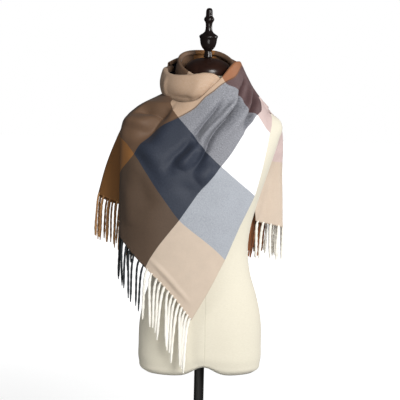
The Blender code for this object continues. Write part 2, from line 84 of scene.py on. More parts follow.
class Nodes:
    """Short words for the nodes of one material, or of the world."""

    def __init__(self, owner):
        self.owner = owner
        self.tree = owner.node_tree
        self.shader = self.tree.nodes.get("Principled BSDF")

    def add(self, kind, **values):
        node = self.tree.nodes.new("ShaderNode" + kind)
        for key, value in values.items():
            if hasattr(node, key):
                setattr(node, key, value)
            else:
                node.inputs[key.replace("_", " ")].default_value = value
        return node

    def link(self, source, target):
        self.tree.links.new(source, target)

    def sum(self, how, first, second=None, third=None):
        """A Math node's value from numbers or sockets."""
        node = self.add("Math", operation=how)
        for k, given in enumerate((first, second, third)):
            if isinstance(given, (int, float)):
                node.inputs[k].default_value = given
            elif given is not None:
                self.link(given, node.inputs[k])
        return node.outputs["Value"]

    def bell(self, distance, width, power=2.0):
        """One where the distance is nought, falling off softly over the width."""
        ratio = self.sum("POWER", self.sum("DIVIDE", distance, width), power)
        return self.sum("EXPONENT", self.sum("MULTIPLY", ratio, -1.0))

    def between(self, share, first, second):
        """A colour mixed from two colours or sockets."""
        node = self.add("Mix", data_type="RGBA")
        for k, given in ((0, share), (6, first), (7, second)):
            if isinstance(given, (int, float)):
                node.inputs[k].default_value = given
            elif isinstance(given, tuple):
                node.inputs[k].default_value = (*given, 1.0)
            else:
                self.link(given, node.inputs[k])
        return node.outputs[2]

    def place(self, scale=None):
        """Where a point lies in its object, in metres or stretched."""
        spot = self.add("TexCoord").outputs["Object"]
        if scale is None:
            return spot
        node = self.add("Mapping", Scale=scale)
        self.link(spot, node.inputs["Vector"])
        return node.outputs["Vector"]

    def noise(self, where, scale, detail=2.0, roughness=0.5):
        node = self.add("TexNoise", Scale=scale, Detail=detail, Roughness=roughness)
        self.link(where, node.inputs["Vector"])
        return node.outputs["Fac"]

    def colour(self, tone):
        self.link(tone, self.shader.inputs["Base Color"])

    def bump(self, height, strength, depth):
        node = self.add("Bump", Strength=strength, Distance=depth)
        self.link(height, node.inputs["Height"])
        self.link(node.outputs["Normal"], self.shader.inputs["Normal"])


def finish(name, roughness, **sockets):
    """The nodes of a new material, with values set straight on its shader's own sockets."""
    material = bpy.data.materials.new(name)
    material.use_nodes = True
    maker = Nodes(material)
    maker.shader.inputs["Roughness"].default_value = roughness
    for socket, value in sockets.items():
        maker.shader.inputs[socket.replace("_", " ")].default_value = value
    return maker


def add_mesh(name, shape, material):
    """The bmesh as an object at the origin, smooth shaded."""
    mesh = bpy.data.meshes.new(name)
    shape.to_mesh(mesh)
    shape.free()
    mesh.materials.append(material)
    mesh.shade_smooth()
    made = bpy.data.objects.new(name, mesh)
    scene.collection.objects.link(made)
    return made


# White walls: bright to the camera, and weak as a light so that the lamps shape the cloth.
scene.world = bpy.data.worlds.new("white_walls")
scene.world.use_nodes = True
maker = Nodes(scene.world)
maker.tree.nodes.clear()
rays, either = maker.add("LightPath"), maker.add("MixShader")
given = maker.add("Background", Color=(0.97, 0.985, 1.0, 1.0))
seen = maker.add("Background", Color=(1.0, 1.0, 1.0, 1.0))
strength = maker.sum("MULTIPLY_ADD", rays.outputs["Is Diffuse Ray"], 0.18, 0.05)
maker.link(strength, given.inputs["Strength"])
maker.link(rays.outputs["Is Camera Ray"], either.inputs["Fac"])
maker.link(given.outputs["Background"], either.inputs[1])
maker.link(seen.outputs["Background"], either.inputs[2])
maker.link(either.outputs["Shader"], maker.add("OutputWorld").inputs["Surface"])

maker = finish("white_paper", 0.9, Base_Color=(0.84, 0.84, 0.84, 1.0), Emission_Color=(1.0, 1.0, 1.0, 1.0))
far = maker.add("VectorMath", operation="LENGTH")
maker.link(maker.place(), far.inputs[0])
fade = maker.add(
    "MapRange", interpolation_type="SMOOTHSTEP", From_Min=0.8, From_Max=5.0, To_Min=0.58, To_Max=1.0,
)
maker.link(far.outputs["Value"], fade.inputs["Value"])
maker.link(fade.outputs["Result"], maker.shader.inputs["Emission Strength"])
shape = bmesh.new()
bmesh.ops.create_circle(shape, cap_ends=True, radius=40.0, segments=64)
floor = add_mesh("paper_floor", shape, maker.owner)
floor.visible_diffuse = False
floor.visible_glossy = False


# -------- stand
# A round steel foot and a straight steel post, powder coated in satin black. The post is pushed
# up into a socket in the form's padding.
maker = finish("black_powder_coat", 0.42, Specular_IOR_Level=0.25)
grain = maker.noise(maker.place(), 900.0)
maker.colour(maker.between(grain, (0.006, 0.006, 0.006), (0.014, 0.013, 0.012)))
maker.bump(grain, 0.25, 0.0002)
for node in ("stand_base", "stand_post"):
    for slot in bpy.data.objects[node].material_slots:
        slot.material = maker.owner


# -------- dress form
# A limbless padded torso under a tight cover of cream linen canvas, cut in a front and a back
# half on each side, so that plain lapped seams run down its front, its back and both flanks.
form_levels = np.array([
    # height, half width, depth in front, depth behind, squareness of the section
    (0.452, 0.136, 0.088, 0.080, 2.5), (0.458, 0.146, 0.097, 0.090, 2.4),
    (0.475, 0.152, 0.104, 0.097, 2.3), (0.520, 0.154, 0.108, 0.104, 2.2),
    (0.580, 0.152, 0.108, 0.112, 2.1), (0.640, 0.140, 0.102, 0.110, 2.1),
    (0.700, 0.122, 0.092, 0.094, 2.1), (0.760, 0.115, 0.086, 0.080, 2.1),
    (0.820, 0.122, 0.092, 0.082, 2.1), (0.880, 0.138, 0.106, 0.090, 2.1),
    (0.940, 0.157, 0.120, 0.097, 2.15), (0.990, 0.173, 0.116, 0.100, 2.2),
    (1.035, 0.187, 0.098, 0.098, 2.2), (1.068, 0.195, 0.076, 0.088, 2.2),
    (1.086, 0.186, 0.066, 0.080, 2.15), (1.104, 0.156, 0.060, 0.073, 2.1),
    (1.126, 0.112, 0.057, 0.068, 2.05), (1.146, 0.076, 0.058, 0.064, 2.0),
    (1.166, 0.060, 0.058, 0.060, 2.0), (1.205, 0.058, 0.058, 0.058, 2.0),
])
form_foot, shoulder_top, neck_top = 0.452, 1.100, 1.205
neck_lean, neck_shift = math.radians(6.0), (0.003, -0.008)
arch_height, arch_width, arch_fades = 0.022, 0.034, 0.090      # the arch between the legs


def smooth_through(knots, values, at):
    """Values at the places `at` on a smooth curve through the knots."""
    knots, values = np.asarray(knots, float), np.asarray(values, float)
    flat = values.reshape(len(knots), -1)
    steps = np.diff(knots)[:, None]
    chords = np.diff(flat, axis=0) / steps
    slopes = np.vstack([chords[:1], chords[:-1], chords[-1:]])
    slopes[1:-1] = (chords[:-1] * steps[1:] + chords[1:] * steps[:-1]) / (steps[1:] + steps[:-1])
    place = np.clip(np.searchsorted(knots, at, side="right") - 1, 0, len(knots) - 2)
    step = steps[place]
    u = ((np.asarray(at, float) - knots[place]) / step[:, 0])[:, None]
    start = (1 + 2 * u) * (1 - u) ** 2
    smooth = start * flat[place] + (1 - start) * flat[place + 1]
    smooth += step * u * (1 - u) ** 2 * slopes[place] - step * u**2 * (1 - u) * slopes[place + 1]
    return smooth.reshape(len(u), *values.shape[1:])


def laid_grid(name, points, material, around=False, places=None):
    """A bmesh grid laid onto points (columns, lines, 3), its faces turned outwards. `places` are the
    cloth's own coordinates there, kept as its UV map. `around` joins the last column to the first."""
    columns, lines = points.shape[:2]
    shape = bmesh.new()
    bmesh.ops.create_grid(shape, x_segments=columns - 1, y_segments=lines - 1, size=0.5)
    flat = np.array([vert.co[:2] for vert in shape.verts])
    column = np.rint((flat[:, 0] + 0.5) * (columns - 1)).astype(int)
    line = np.rint((flat[:, 1] + 0.5) * (lines - 1)).astype(int)
    for vert, place in zip(shape.verts, points[column, line]):
        vert.co = place
    if places is not None:
        layer = shape.loops.layers.uv.new("cloth")
        for face in shape.faces:
            for loop in face.loops:
                loop[layer].uv = places[column[loop.vert.index], line[loop.vert.index]]
    if around:
        bmesh.ops.remove_doubles(shape, verts=shape.verts, dist=1e-6)
        bmesh.ops.recalc_face_normals(shape, faces=shape.faces)
    else:
        shape.normal_update()
        if sum(face.normal.xy @ face.calc_center_median().xy for face in shape.faces) < 0:
            bmesh.ops.reverse_faces(shape, faces=shape.faces)
    return add_mesh(name, shape, material)


levels = np.concatenate([np.linspace(form_foot, 0.475, 8), np.linspace(0.483, neck_top, 110)])
form_rows = np.column_stack([levels, smooth_through(form_levels[:, 0], form_levels[:, 1:], levels)])
turns = np.linspace(0, 2 * math.pi, 129)
side, behind = np.sin(turns)[:, None], -np.cos(turns)[:, None]
height, half, front, back, square = form_rows.T[:, None, :]
depth = np.where(behind < 0, front, back)
form_x = half * np.sign(side) * np.abs(side) ** (2 / square)
form_y = depth * np.sign(behind) * np.abs(behind) ** (2 / square)
lean = np.clip((height - shoulder_top) / (neck_top - shoulder_top), 0, None)
arch = np.clip(1 - (height - form_foot) / arch_fades, 0, None) ** 2
arch = arch_height * np.exp(-((form_x / arch_width) ** 2)) * arch
form_z = height + arch + form_y * math.tan(neck_lean) * lean
form_points = np.stack(
    [form_x + neck_shift[0] * lean, form_y + neck_shift[1] * lean, form_z], axis=-1,
)
foot = form_points[:, :1]
middle = np.array([0.0, 0.0, 0.474])
sole = [middle + (foot - middle) * share for share in (0.10, 0.35, 0.6, 0.85)]
form_points = np.concatenate(sole + [form_points], axis=1)

maker = finish("cream_linen", 0.85, Sheen_Weight=0.15, Sheen_Roughness=0.5, Specular_IOR_Level=0.2)
spot = maker.place()
split = maker.add("SeparateXYZ")
maker.link(spot, split.inputs["Vector"])
across, through, up = split.outputs
thread_turn = 5200.0        # a thread every 1.2 mm
thread = maker.sum("SINE", maker.sum("MULTIPLY", up, thread_turn))
slub = maker.noise(maker.place((160.0, 160.0, 900.0)), 1.0, 3.0)
cloud = maker.noise(spot, 9.0, 3.0)
tone = maker.between(slub, (0.605, 0.562, 0.458), (0.728, 0.690, 0.580))
tone = maker.between(maker.sum("MULTIPLY", cloud, 0.25), tone, (0.60, 0.555, 0.45))
# A seam is a shallow groove, and painted shade darkens the linen along it.
from_middle = maker.sum("ABSOLUTE", maker.sum("SUBTRACT", across, 0.0005))
from_flank = maker.sum("ABSOLUTE", maker.sum("ADD", through, 0.004))
seam_width = 0.0011
groove = maker.bell(maker.sum("MINIMUM", from_middle, from_flank), seam_width)
# Painted shade in the seam groove.
maker.colour(maker.between(maker.sum("MULTIPLY", groove, 0.20), tone, (0.36, 0.32, 0.25)))
weave = maker.sum("ADD", maker.sum("MULTIPLY", slub, 0.8), maker.sum("MULTIPLY", thread, 0.1))
maker.bump(maker.sum("SUBTRACT", weave, maker.sum("MULTIPLY", groove, 3.0)), 0.35, 0.0005)
form = laid_grid("dress_form", form_points, maker.owner, around=True)
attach(form, "root")
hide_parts("form_body")


# -------- neck cap and finial
# A low dome of stained and polished beech that closes the neck, and a turned finial screwed into
# its middle, lacquered until it is nearly black. Both lean forward with the neck.
wall_of_cap = [
    (0.0000, 0.0290), (0.0110, 0.0288), (0.0260, 0.0262), (0.0400, 0.0215), (0.0510, 0.0150),
    (0.0575, 0.0080), (0.0602, 0.0010), (0.0606, -0.0060), (0.0604, -0.0105), (0.0596, -0.0112),
    (0.0592, -0.0060), (0.0592, 0.0000), (0.0000, 0.0000),
]
wall_of_finial = [
    (0.0000, 0.1215), (0.0050, 0.1208), (0.0082, 0.1170), (0.0086, 0.1070), (0.0080, 0.1010),
    (0.0112, 0.0985), (0.0130, 0.0950), (0.0128, 0.0910), (0.0098, 0.0870), (0.0080, 0.0840),
    (0.0080, 0.0700), (0.0098, 0.0625), (0.0165, 0.0575), (0.0230, 0.0545), (0.0238, 0.0505),
    (0.0212, 0.0475), (0.0208, 0.0400), (0.0192, 0.0310), (0.0155, 0.0235), (0.0110, 0.0190),
    (0.0082, 0.0165), (0.0088, 0.0140), (0.0100, 0.0090), (0.0104, 0.0030), (0.0125, 0.0000),
    (0.0000, 0.0000),
]
neck_axis = Vector((0.0, -math.sin(neck_lean), math.cos(neck_lean)))
cap_seat = Vector((neck_shift[0], neck_shift[1], neck_top + 0.0003))
finial_seat = cap_seat + neck_axis * 0.0293


def turned(name, wall, seat, material):
    """A profile spun on the lathe, its edges eased, then leaned and set on its seat."""
    shape = bmesh.new()
    rim = [shape.verts.new((radius, 0.0, height)) for radius, height in wall]
    for low, high in zip(rim, rim[1:]):
        shape.edges.new((low, high))
    bmesh.ops.spin(
        shape, geom=shape.verts[:] + shape.edges[:], cent=(0, 0, 0), axis=(0, 0, 1),
        angle=2 * math.pi, steps=72, use_merge=True,
    )
    bmesh.ops.remove_doubles(shape, verts=shape.verts, dist=1e-5)
    bmesh.ops.recalc_face_normals(shape, faces=shape.faces)
    leaned = Matrix.Rotation(neck_lean, 3, "X")
    bmesh.ops.rotate(shape, verts=shape.verts, cent=(0, 0, 0), matrix=leaned)
    bmesh.ops.translate(shape, verts=shape.verts, vec=seat)
    made = add_mesh(name, shape, material)
    smooth = made.modifiers.new("eased", "SUBSURF")
    smooth.levels = smooth.render_levels = 1
    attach(made, "root")
    return made


def polished(name, dark, light, roughness):
    maker = finish(name, roughness, Coat_Weight=0.2, Coat_Roughness=0.2, Specular_IOR_Level=0.25)
    figure = maker.noise(maker.place((60.0, 60.0, 9.0)), 1.0, 4.0, 0.6)
    maker.colour(maker.between(figure, dark, light))
    maker.bump(maker.noise(maker.place(), 420.0), 0.06, 0.0002)
    return maker.owner


beech = polished("stained_beech", (0.010, 0.004, 0.003), (0.034, 0.014, 0.009), 0.30)
cap = turned("neck_cap_polished", wall_of_cap, cap_seat, beech)
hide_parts("neck_cap")
lacquer = polished("dark_lacquer", (0.006, 0.004, 0.004), (0.014, 0.009, 0.008), 0.26)
finial = turned("finial_polished", wall_of_finial, finial_seat, lacquer)
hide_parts("finial")


# -------- checked cloth
# One cloth for every stretch: soft spun yarn woven as a twill, brushed on both faces. Broad bands
# of white, navy, camel and rust warp cross bands of camel, grey, white and rose weft, so that each
# check shows the two yarns mixed. Its UV map is in metres: across the warp bands, and from the tip.
warp_band, weft_band = 0.166, 0.170
warp_yarns = [(0.985, 0.985, 0.99), (0.09, 0.10, 0.145), (0.555, 0.324, 0.116), (0.39, 0.195, 0.09)]
weft_yarns = [(0.645, 0.500, 0.352), (0.325, 0.36, 0.42), (0.98, 0.98, 0.99), (0.65, 0.472, 0.435)]


def banded(maker, where, width, yarns, count):
    """The yarn's colour in equal bands along one direction of the cloth."""
    ramp = maker.add("ValToRGB")
    ramp.color_ramp.interpolation = "CONSTANT"
    stops = ramp.color_ramp.elements
    for k in range(count):
        stop = stops[k] if k < 2 else stops.new(k / count)
        stop.position = k / count
        stop.color = (*yarns[k % len(yarns)], 1.0)
    maker.link(maker.sum("DIVIDE", where, width * count), ramp.inputs["Fac"])
    return ramp.outputs["Color"]


maker = finish(
    "brushed_check_cloth", 0.58, Sheen_Weight=0.06, Sheen_Roughness=0.45, Specular_IOR_Level=0.30,
)
checked = maker.owner
cloth_place = maker.add("UVMap", uv_map="cloth").outputs["UV"]
split = maker.add("SeparateXYZ")
maker.link(cloth_place, split.inputs["Vector"])
over, along, _ = split.outputs
# Warp and weft floats run in steep diagonal ribs, broken up by the nap.
rib_slant, rib_turn = 1.35, 2600.0      # a rib every 2.4 mm across the warp
slant = maker.sum("ADD", over, maker.sum("MULTIPLY", along, rib_slant))
twill = maker.sum("SINE", maker.sum("MULTIPLY", slant, rib_turn))
yarn_grain = maker.noise(cloth_place, 520.0, 2.0, 0.6)
fleck = maker.noise(cloth_place, 240.0, 3.0, 0.75)
warp_flecks = banded(maker, over, warp_band, [(0.70,) * 3, (0.75,) * 3, (0.2,) * 3, (0.2,) * 3], 4)
weft_flecks = banded(maker, along, weft_band, [(0.12,) * 3, (0.45,) * 3, (0.60,) * 3, (0.20,) * 3], 9)
flecked = maker.sum("MULTIPLY", warp_flecks, weft_flecks)
speckle = maker.sum("ADD", maker.sum("SUBTRACT", fleck, 0.5), maker.sum("SUBTRACT", yarn_grain, 0.5))
share = maker.sum("MULTIPLY_ADD", twill, 0.05, 0.5)
share = maker.sum("ADD", share, maker.sum("MULTIPLY", speckle, flecked))
warp_colour = banded(maker, over, warp_band, warp_yarns, 4)
weft_colour = banded(maker, along, weft_band, weft_yarns, 9)
dyed = maker.between(share, warp_colour, weft_colour)
gamma = maker.add("Gamma", Gamma=2.2)
maker.link(dyed, gamma.inputs["Color"])
brushed = maker.noise(maker.place(), 34.0, 4.0, 0.6)
tone = maker.between(maker.sum("MULTIPLY", brushed, 0.16), gamma.outputs["Color"], (0.0, 0.0, 0.0))
# Along the edge of the camel band, where the cloth is turned over at the neck, a thin dark line of painted
# shadow stands for the shade of that fold.
line_over, line_width, line_middle, half_line = 0.3335, 0.0014, 0.44, 0.12
painted_fold_shadow = maker.bell(maker.sum("SUBTRACT", over, line_over), line_width)
line_ends = maker.bell(maker.sum("SUBTRACT", along, line_middle), half_line, 6.0)
painted_fold_shadow = maker.sum("MULTIPLY", painted_fold_shadow, line_ends)
# The painted fold shadow darkens the cloth along that line.
tone = maker.between(maker.sum("MULTIPLY", painted_fold_shadow, 0.85), tone, (0.012, 0.007, 0.004))
muted = maker.add("HueSaturation", Value=0.93)
maker.link(tone, muted.inputs["Color"])
maker.colour(muted.outputs["Color"])
ribs = maker.sum("ADD", maker.sum("MULTIPLY", twill, 0.25), maker.sum("ADD", yarn_grain, fleck))
maker.bump(ribs, 0.28, 0.0009)

WALL, CLEAR = 0.0020, 0.0007        # the cloth's thickness, and its gap to what it lies on
REACH = 0.030                       # what starts deeper than this below a face isn't lifted over it
ARC = np.array([0.0026, 1.0])       # degrees of azimuth and metres of height, both in metres


def outwards(grid):
    """The outward normals over the grid."""
    normal = np.cross(np.gradient(grid, axis=1), np.gradient(grid, axis=0))
    normal /= np.linalg.norm(normal, axis=-1, keepdims=True) + 1e-12
    return normal * np.sign((normal[..., :2] * grid[..., :2]).sum())


def softened(field):
    """Moves over the grid, averaged three times with their neighbours'."""
    for _ in range(3):
        padded = np.pad(field, ((1, 1), (1, 1), (0, 0)), mode="edge")
        around = padded[:-2, 1:-1] + padded[2:, 1:-1] + padded[1:-1, :-2] + padded[1:-1, 2:]
        field = (around + 2 * field) / 6
    return field


def hung_grid(rows, columns, lines):
    """Points of a hanging stretch from its sections: rows of an azimuth in degrees and (radius,
    height) points in millimetres."""
    rows = sorted(rows)
    azimuths = np.array([row[0] for row in rows], float)
    sections = np.array([row[1:] for row in rows]) / 1000
    knots = np.arange(sections.shape[1])
    places = np.linspace(0, knots[-1], lines)
    down = np.array([smooth_through(knots, section, places) for section in sections])
    turns = np.linspace(azimuths[0], azimuths[-1], columns)
    smooth = smooth_through(azimuths, down, turns)
    # A cut edge runs straight from corner to corner, so heights are smooth only near the neck.
    straight = np.array([np.interp(turns, azimuths, down[:, j, 1]) for j in range(lines)]).T
    share = (places / knots[-1]) ** 2
    height = smooth[..., 1] * (1 - share) + straight * share
    angle = np.radians(turns)[:, None]
    radius = smooth[..., 0]
    points = np.stack([radius * np.sin(angle), -radius * np.cos(angle), height], axis=-1)
    return points, np.repeat(turns[:, None], lines, axis=1)


def creased(grid, azimuth, creases):
    """Troughs and ridges laid on as listed. Each has its path as (azimuth, height) points, its half
    width at both ends and its depth, outwards if positive, in degrees and millimetres, and how it
    fades at its start and end."""
    shift = np.zeros(azimuth.shape)
    for path, widths, depth, fades in creases:
        nearest, share = np.full(azimuth.shape, np.inf), np.zeros(azimuth.shape)
        knots = np.array(path) / (1, 1000) * ARC
        lengths = np.linalg.norm(np.diff(knots, axis=0), axis=1)
        starts = np.concatenate([[0], np.cumsum(lengths)]) / lengths.sum()
        flat = np.stack([azimuth, grid[..., 2]], axis=-1) * ARC
        for k, length in enumerate(lengths):
            run = knots[k + 1] - knots[k]
            along = np.clip(((flat - knots[k]) @ run) / (run @ run), 0, 1)
            away = np.linalg.norm(flat - knots[k] - along[..., None] * run, axis=-1)
            closer = away < nearest
            nearest = np.where(closer, away, nearest)
            share = np.where(closer, starts[k] + along * length / lengths.sum(), share)
        width = (widths[0] + (widths[1] - widths[0]) * share) / 1000
        fade_in = np.clip(share / fades[0], 0, 1) if fades[0] else 1.0
        fade_out = np.clip((1 - share) / fades[1], 0, 1) if fades[1] else 1.0
        fade = np.sin(np.minimum(fade_in, fade_out) * math.pi / 2) if fades[0] or fades[1] else 1.0
        shift += depth / 1000 * fade * np.exp(-((nearest / width) ** 2))
    return grid + outwards(grid) * shift[..., None]


def tree_over(grid, reach=REACH):
    """The outer face of a stretch, for the next one to lie on, and its reach."""
    points = grid + outwards(grid) * WALL
    columns, lines = points.shape[:2]
    index = np.arange(columns * lines).reshape(columns, lines)
    quads = np.stack([index[:-1, :-1], index[:-1, 1:], index[1:, 1:], index[1:, :-1]], axis=-1)
    quads = quads.reshape(-1, 4)
    flat = points.reshape(-1, 3)
    a, b, c = flat[quads[0][:3]]
    if np.cross(b - a, c - a) @ outwards(grid)[0, 0] < 0:
        quads = quads[:, ::-1]
    return BVHTree.FromPolygons(flat.tolist(), quads.tolist()), reach


def laid_over(grid, *under):
    """The stretch lifted, softly, until it lies clear of what it hangs on."""
    past_edge = 0.004       # further beside a face's edge than this, nothing holds it up
    points = grid.copy()
    for _ in range(3):
        push = np.zeros(points.shape)
        for place in np.ndindex(points.shape[:2]):
            here = Vector(points[place])
            move = Vector()
            for tree, reach in under:
                spot, normal, _, _ = tree.find_nearest(here + move)
                away = here + move - spot
                height = away.dot(normal)
                if -reach < height < CLEAR and (away - normal * height).length < past_edge:
                    move += normal * (CLEAR - height)
            push[place] = move
        if not push.any():
            break
        need = np.linalg.norm(push, axis=-1, keepdims=True)
        soft = softened(push)
        size = np.linalg.norm(soft, axis=-1, keepdims=True) + 1e-12
        points += np.where(size > need, soft, push)
    return points


def cloth_places(grid, azimuth, corners):
    """The cloth's own coordinates over a stretch, smooth through the places of its check corners,
    each given as azimuth in degrees, and height, distance across the warp bands and distance from
    the tip in millimetres."""
    table = np.array(corners) / (1, 1000, 1000, 1000)
    known = table[:, :2] * ARC
    wanted = np.column_stack([azimuth.ravel(), grid[..., 2].ravel()]) * ARC

    def bend(a, b):
        square = ((a[:, None] - b[None]) ** 2).sum(-1)
        return 0.5 * square * np.log(square + 1e-9)

    count = len(known)
    system = np.zeros((count + 3, count + 3))
    system[:count, :count] = bend(known, known) + 1e-5 * np.eye(count)
    system[:count, count:] = np.column_stack([np.ones(count), known])
    system[count:, :count] = system[:count, count:].T
    weights = np.linalg.solve(system, np.vstack([table[:, 2:], np.zeros((3, 2))]))
    flat = np.column_stack([np.ones(len(wanted)), wanted]) @ weights[count:]
    return (bend(wanted, known) @ weights[:count] + flat).reshape(*grid.shape[:2], 2)


def rolled_rim(grid, places, radius, skirt):
    """Lines added above the first one, where the edge is rolled over towards the neck and ends in a
    narrow skirt. The radius is one number or one for each column."""
    radius = np.broadcast_to(radius, grid.shape[:1])[:, None]
    up = grid[:, 0] - grid[:, 2]
    up /= np.linalg.norm(up, axis=1, keepdims=True)
    inwards = -outwards(grid)[:, 0]
    inwards -= up * (inwards * up).sum(axis=1, keepdims=True)
    inwards /= np.linalg.norm(inwards, axis=1, keepdims=True)
    climb = np.linalg.norm(grid[:, 0] - grid[:, 4], axis=1, keepdims=True)
    slope = (places[:, 0] - places[:, 4]) / climb
    turns = np.radians(np.linspace(0, 160, 9))[1:]
    lines = [grid[:, 0] + radius * (up * math.sin(a) + inwards * (1 - math.cos(a))) for a in turns]
    marks = [places[:, 0] + slope * radius * a for a in turns]
    end, end_mark = lines[-1], marks[-1]
    down = up * math.cos(turns[-1]) + inwards * math.sin(turns[-1])
    for step in (0.4, 1.0):
        lines.append(end + down * skirt * step)
        marks.append(end_mark + slope * skirt * step)
    return (
        np.concatenate([np.stack(lines[::-1], axis=1), grid], axis=1),
        np.concatenate([np.stack(marks[::-1], axis=1), places], axis=1),
    )


def cloth_piece(name, grid, places, node):
    """The stretch with the cloth's thickness, standing for its CAD node."""
    made = laid_grid(name, grid, checked, places=places)
    wall = made.modifiers.new("thickness", "SOLIDIFY")
    wall.thickness = WALL
    wall.offset = 1.0
    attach(made, "root")
    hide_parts(node)
    return made


# -------- scarf, inner layer of the tail
# The far end of the scarf comes out from under the winding at the right shoulder and hangs down
# the back, folded lengthwise. Its camel and rust bands lie inside. The whole scarf is one piece,
# 0.664 m wide and 1.53 m long between its fringes, and each stretch names its part of that cut.
form_tree = BVHTree.FromPolygons(
    [vert.co for vert in form.data.vertices], [face.vertices for face in form.data.polygons],
)
on_form = (form_tree, REACH)

inner_tail, turn_map = hung_grid([
    # azimuth, rim, shoulder, blade, fall, hem
    (112, (106, 1125), (150, 1089), (180, 1036), (162, 945), (145, 880)),
    (116, (105, 1124), (148, 1088), (180, 1034), (182, 940), (178, 858)),
    (121, (104, 1124), (144, 1087), (176, 1028), (200, 925), (204, 854)),
    (130, (100, 1124), (134, 1084), (164, 1015), (194, 910), (198, 846)),
    (144, (93, 1124), (116, 1072), (138, 985), (160, 895), (168, 836)),
    (170, (85, 1124), (98, 1060), (108, 970), (124, 880), (138, 822)),
], 70, 70)
inner_tail = creased(inner_tail, turn_map, [
    (((124, 1030), (127, 830)), (10, 14), -6, (0.3, 0)),
    (((138, 1050), (141, 770)), (12, 16), 6, (0.3, 0)),
    (((156, 1020), (158, 740)), (10, 12), -5, (0.3, 0)),
])
inner_tail = laid_over(inner_tail, on_form)
inner_places = cloth_places(inner_tail, turn_map, [
    (112, 878, 664, 1530), (134, 843, 498, 1530), (170, 822, 340, 1530), (112, 1125, 640, 1235),
    (134, 1124, 500, 1240), (170, 1124, 350, 1180),
])
inner_tail_piece = cloth_piece(
    "scarf_tail_inner_cloth", inner_tail, inner_places, "scarf_tail_inner",
)


# At both ends the warp runs out of the weave and is twisted, a dozen ends at a time, into soft
# two-ply strands. They leave the edge in the line of the warp and turn down under their weight.
def yarn(name, dark, light):
    maker = finish(name, 0.95, Sheen_Weight=0.10, Sheen_Roughness=0.5, Specular_IOR_Level=0.1)
    bunch = maker.noise(maker.place((70.0, 70.0, 14.0)), 1.0, 1.0)
    maker.colour(maker.between(maker.sum("MULTIPLY_ADD", bunch, 1.6, -0.3), dark, light))
    maker.bump(maker.noise(maker.place(), 1100.0, 3.0, 0.7), 0.25, 0.0005)
    return maker.owner


yarns = {
    "white_yarn": yarn("white_yarn", (0.78, 0.75, 0.68), (0.92, 0.90, 0.84)),
    "charcoal_yarn": yarn("charcoal_yarn", (0.011, 0.013, 0.015), (0.045, 0.050, 0.054)),
    "camel_yarn": yarn("camel_yarn", (0.24, 0.105, 0.040), (0.72, 0.41, 0.19)),
    "rust_yarn": yarn("rust_yarn", (0.095, 0.034, 0.015), (0.40, 0.16, 0.07)),
}

strand_radius, sides = 0.0039, 10
ply = bpy.data.curves.new("ply_section", "CURVE")
ply.dimensions = "2D"
loop = ply.splines.new("POLY")
loop.points.add(sides - 1)
loop.use_cyclic_u = True
for k, point in enumerate(loop.points):
    turn = 2 * math.pi * k / sides
    lobe = strand_radius * (0.92 + 0.08 * math.cos(2 * turn))
    point.co = (lobe * math.cos(turn), lobe * math.sin(turn), 0.0, 1.0)
ply_section = bpy.data.objects.new("ply_section", ply)
scene.collection.objects.link(ply_section)


def warp_direction(grid, places, column):
    """Which way the warp runs out of the edge at a column."""
    before, after = max(column - 2, 0), min(column + 2, len(grid) - 1)

    def runs(field):
        return np.array([field[after, -1] - field[before, -1], field[column, -1] - field[column, -5]])

    near_end = places[column, -1, 1] < 0.7
    way = np.linalg.solve(runs(places).T, [0.0, -1.0 if near_end else 1.0]) @ runs(grid)
    return way / np.linalg.norm(way)


